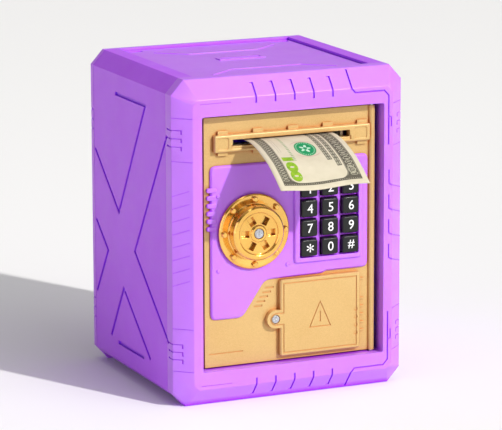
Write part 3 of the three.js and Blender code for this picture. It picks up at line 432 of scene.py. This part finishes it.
PURPLE_GLOSS = {
    "Specular_IOR_Level": 0.35, "Coat_Weight": 0.12, "Coat_Roughness": 0.18, "Subsurface_Weight": 0.3,
    "Subsurface_Radius": (1.0, 0.2, 1.3), "Subsurface_Scale": 0.003,
}
# Painted shade: each purple's last colour is what it turns to inside grooves and recesses.
PURPLE = moulded("purple_abs", rgb(191, 121, 243), rgb(187, 115, 237), 0.46, groove_shade=rgb(168, 0, 244),
                 **PURPLE_GLOSS)
# A shaded copy of the purple for the side panels: painted shade.
SHADED_SIDE_PURPLE = moulded("purple_abs_shaded_side", rgb(184, 93, 246), rgb(180, 86, 240), 0.46, groove_shade=rgb(120, 0, 226),
                      **PURPLE_GLOSS)
GOLD = gold_paint()
PLATED = plated_gold()
STEEL = bare_metal("zinc_steel", rgb(214, 216, 220), rgb(180, 182, 188))
BRASS = bare_metal("turned_brass", rgb(226, 190, 110), rgb(204, 164, 86))
BLACK_KEY = key_black()
KEY_INK = key_ink()
DARK = moulded("black_abs", rgb(34, 34, 38), rgb(26, 26, 30), 0.45)
RUBBER = moulded("silicone", rgb(54, 55, 60), rgb(42, 43, 48), 0.72, grain=0.00004)
BOARD = circuit_mask()
NYLON = moulded("acetal", rgb(236, 230, 214), rgb(226, 219, 200), 0.4)
WRAP = moulded("cell_sleeve", rgb(60, 104, 178), rgb(50, 90, 160), 0.3)
PAPER = note_paper()
LIME = note_ink()

SLOT_LOOKS = {
    "purple_plastic": PURPLE, "gold_plastic": GOLD, "gold_plating": PLATED, "black_key_plastic": BLACK_KEY,
    "dark_plastic": DARK, "steel": STEEL, "brass": BRASS, "rubber": RUBBER, "circuit_board": BOARD,
    "nylon": NYLON, "cell_wrap": WRAP, "paper": PAPER,
}

# Painted shade: both side panels get a darker, more saturated copy of the purple, standing in for the shade
# that falls on the sides.
NODE_LOOKS = {"left_side_panel": SHADED_SIDE_PURPLE, "right_side_panel": SHADED_SIDE_PURPLE}


# ------------------------------------------------------------------ carried-over CAD nodes

# Width of the rounded edges in millimetres; pieces not named here get the ordinary width.
EDGE_WIDTH = {
    "left_side_panel": 0.3, "right_side_panel": 0.3, "keypad_plate": 0.3, "slot_bezel": 0.25,
    "bottom_panel": 0.4,
}
ORDINARY_EDGE = 0.2
# Faces with many engraved marks: their edges stay sharp.
CRISP = {"front_frame", "rear_frame", "door_panel", "battery_cover"}
# Faces with holes through them: they are cut into triangles before their edges are rounded.
OPEN_WORK = {"slot_bezel", "keypad_plate", "bottom_panel", "contact_plate_left", "contact_plate_right",
             "knob_dial", "top_panel"}
FLAT_WITHIN = math.radians(1)
SHARP_FROM = math.radians(28)


def soften(node, width):
    """Rounds a CAD node's edges with modifiers and shades it smooth; its own mesh stays as it is."""
    piece = nodes[node]
    piece.data.polygons.foreach_set("use_smooth", [True] * len(piece.data.polygons))
    weld = piece.modifiers.new("weld", "WELD")
    weld.merge_threshold = 0.000002
    flat = piece.modifiers.new("flat", "DECIMATE")
    flat.decimate_type = "DISSOLVE"
    flat.angle_limit = FLAT_WITHIN
    if node in OPEN_WORK:
        piece.modifiers.new("triangles", "TRIANGULATE")
    if node in CRISP:
        split = piece.modifiers.new("split", "EDGE_SPLIT")
        split.split_angle = SHARP_FROM
    else:
        edge = piece.modifiers.new("edge", "BEVEL")
        edge.width = width * MM
        edge.segments = 2
        edge.limit_method = "ANGLE"
        edge.angle_limit = SHARP_FROM
        edge.use_clamp_overlap = False
        edge.miter_outer = "MITER_ARC"
    even = piece.modifiers.new("even", "WEIGHTED_NORMAL")
    even.mode = "FACE_AREA"
    even.weight = 100


def dress(node, material):
    """Gives a CAD node that one material."""
    mesh = nodes[node].data
    mesh.materials.clear()
    mesh.materials.append(material)


def dress_frame():
    """Materials and rounded edges for every CAD node."""
    slots = {part["node"]: part["material_slot"] for part in record["subparts"]}
    for node in sorted(nodes):
        dress(node, NODE_LOOKS.get(node, SLOT_LOOKS[slots[node]]))
        soften(node, EDGE_WIDTH.get(node, ORDINARY_EDGE))


# ------------------------------------------------------------------ pieces made here


def add_piece(name, mesh, body, material):
    """A new visible piece that moves with that body."""
    piece = bpy.data.objects.new(name, mesh)
    scene.collection.objects.link(piece)
    mesh.materials.append(material)
    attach(piece, body)
    return piece


NOTE_THICKNESS = 0.00022
NOTE_COLUMNS = 32
NOTE_INSET = 0.0001  # keeps the drawn note's sides inside the CAD note
CURL_HEIGHT = 0.0008
CURL_REACH = 0.055  # distance from the tip where the wave has died away
POINT_SPACING = 0.0008  # edge points nearer than this are one point of the bend


def note_curl(along, share):
    """Height of the free end's slight wave, at a distance from the tip and a share of the width."""
    free = max(0.0, 1 - along / CURL_REACH)
    return CURL_HEIGHT * free * math.cos(share * math.pi * 2.2 + 0.4)


def note_centreline():
    """The note's bend as (y, z) points from its outer tip inwards, read from the CAD solid's left edge."""
    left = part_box("play_note")[0].x
    edge = sorted((v.co.y, v.co.z) for v in nodes["play_note"].data.vertices if abs(v.co.x - left) < 1e-6)
    points = []
    for y, z in edge:
        if not points or y - points[-1][0] > POINT_SPACING:
            points.append((y, z, 1))
        else:
            py, pz, count = points[-1]
            points[-1] = ((py * count + y) / (count + 1), (pz * count + z) / (count + 1), count + 1)
    return [(y, z) for y, z, _ in points]


def make_note():
    """The banknote as one thin curved sheet; returns its bend, its length along it, left side and width."""
    low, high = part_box("play_note")
    line = note_centreline()
    left, width = low.x + NOTE_INSET, high.x - low.x - 2 * NOTE_INSET
    arc = [0.0]
    for (y0, z0), (y1, z1) in zip(line, line[1:]):
        arc.append(arc[-1] + math.hypot(y1 - y0, z1 - z0))
    verts, faces, places = [], [], []
    for (y, z), along in zip(line, arc):
        for i in range(NOTE_COLUMNS + 1):
            share = i / NOTE_COLUMNS
            verts.append((left + width * share, y, z + note_curl(along, share)))
            places.append((share * width / MM, along / MM))
    across = NOTE_COLUMNS + 1
    for row in range(len(line) - 1):
        for i in range(NOTE_COLUMNS):
            a = row * across + i
            faces.append((a, a + 1, a + across + 1, a + across))
    mesh = bpy.data.meshes.new("banknote")
    mesh.from_pydata(verts, [], faces)
    layer = mesh.uv_layers.new(name="UVMap")
    for loop in mesh.loops:
        layer.data[loop.index].uv = places[loop.vertex_index]
    mesh.polygons.foreach_set("use_smooth", [True] * len(mesh.polygons))
    note = add_piece("banknote", mesh, "note", PAPER)
    solid = note.modifiers.new("thickness", "SOLIDIFY")
    solid.thickness = NOTE_THICKNESS
    solid.offset = 0
    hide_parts("play_note")
    return line, arc, left, width


def text_mesh(text, size, extrude, weight):
    """Plain numerals as a mesh in the XY plane; weight thickens the strokes by that share of the size."""
    name = "glyph_" + text
    curve = bpy.data.curves.new(name, "FONT")
    curve.body = text
    curve.size = size
    curve.extrude = extrude
    curve.offset = size * weight
    curve.align_x = "CENTER"
    curve.align_y = "CENTER"
    curve.resolution_u = 4
    temp = bpy.data.objects.new(name + "_curve", curve)
    scene.collection.objects.link(temp)
    mesh = bpy.data.meshes.new_from_object(temp.evaluated_get(bpy.context.evaluated_depsgraph_get()))
    bpy.data.objects.remove(temp)
    bpy.data.curves.remove(curve)
    mesh.materials.clear()
    return mesh


def make_key_legends():
    """A digit, star or hash on each key, scaled to its printed height."""
    marks = {"star": "*", "hash": "#"}
    digit_height, mark_height = 0.0062, 0.0058
    print_thickness, sunk, off_centre = 0.00012, 0.00002, 0.0002
    for node in sorted(n for n in nodes if n.startswith("key_")):
        label = node[4:]
        low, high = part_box(node)
        body = node + "_body"
        mesh = text_mesh(marks.get(label, label), 0.0088, print_thickness, 0.0)
        xs = [v.co.x for v in mesh.vertices]
        ys = [v.co.y for v in mesh.vertices]
        mid = Vector(((min(xs) + max(xs)) / 2, (min(ys) + max(ys)) / 2, 0))
        scale = (mark_height if label in marks else digit_height) / (max(ys) - min(ys))
        centre = Vector(((low.x + high.x) / 2 + off_centre, low.y - sunk, (low.z + high.z) / 2))
        mesh.transform(Matrix.Translation(-mid))
        mesh.transform(Matrix.Scale(scale, 4, (1, 0, 0)) @ Matrix.Scale(scale, 4, (0, 1, 0)))
        mesh.transform(Matrix.Translation(centre) @ Matrix.Rotation(math.pi / 2, 4, "X"))
        add_piece("legend_" + label, mesh, body, KEY_INK)


def make_note_numeral(line, arc, left, width):
    """The numeral 100 along the note's left side, laid on the bend, its last digit nearest the tip."""
    near, length = 0.0075, 0.0235
    foot, height = 0.0119, 0.0078
    longest_edge = 0.0012
    mesh = text_mesh("100", 0.0105, 0.0, 0.075)
    bm = bmesh.new()
    bm.from_mesh(mesh)
    bmesh.ops.triangulate(bm, faces=bm.faces)
    long_edges = [e for e in bm.edges if e.calc_length() > longest_edge]
    bmesh.ops.subdivide_edges(bm, edges=long_edges, cuts=2, use_grid_fill=False)
    xs = [v.co.x for v in bm.verts]
    ys = [v.co.y for v in bm.verts]
    x0, x1, y0, y1 = min(xs), max(xs), min(ys), max(ys)
    for v in bm.verts:
        along = near + (x1 - v.co.x) / (x1 - x0) * length
        side = foot + (v.co.y - y0) / (y1 - y0) * height
        i = max(k for k in range(len(arc) - 1) if arc[k] <= along)
        share = (along - arc[i]) / (arc[i + 1] - arc[i])
        y = line[i][0] + (line[i + 1][0] - line[i][0]) * share
        z = line[i][1] + (line[i + 1][1] - line[i][1]) * share
        v.co = (left + side, y, z + note_curl(along, side / width) + NOTE_THICKNESS)
    bmesh.ops.recalc_face_normals(bm, faces=bm.faces)
    bm.to_mesh(mesh)
    bm.free()
    add_piece("note_numeral", mesh, "note", LIME)


make_camera()
make_world()
make_floor()
make_light("SUN", "key", KEY_DIRECTION, 3.0, (1.0, 0.98, 0.95), angle=math.radians(1.5))
make_light("AREA", "fill_left", (-0.9, -0.5, 0.1), 24, (0.97, 0.86, 1.0), size=2.2)
make_light("AREA", "top", (0.1, -0.2, 1.0), 8, (1, 1, 1), size=1.4)

dress_frame()
note_line, note_arc, note_left, note_width = make_note()
make_note_numeral(note_line, note_arc, note_left, note_width)
make_key_legends()
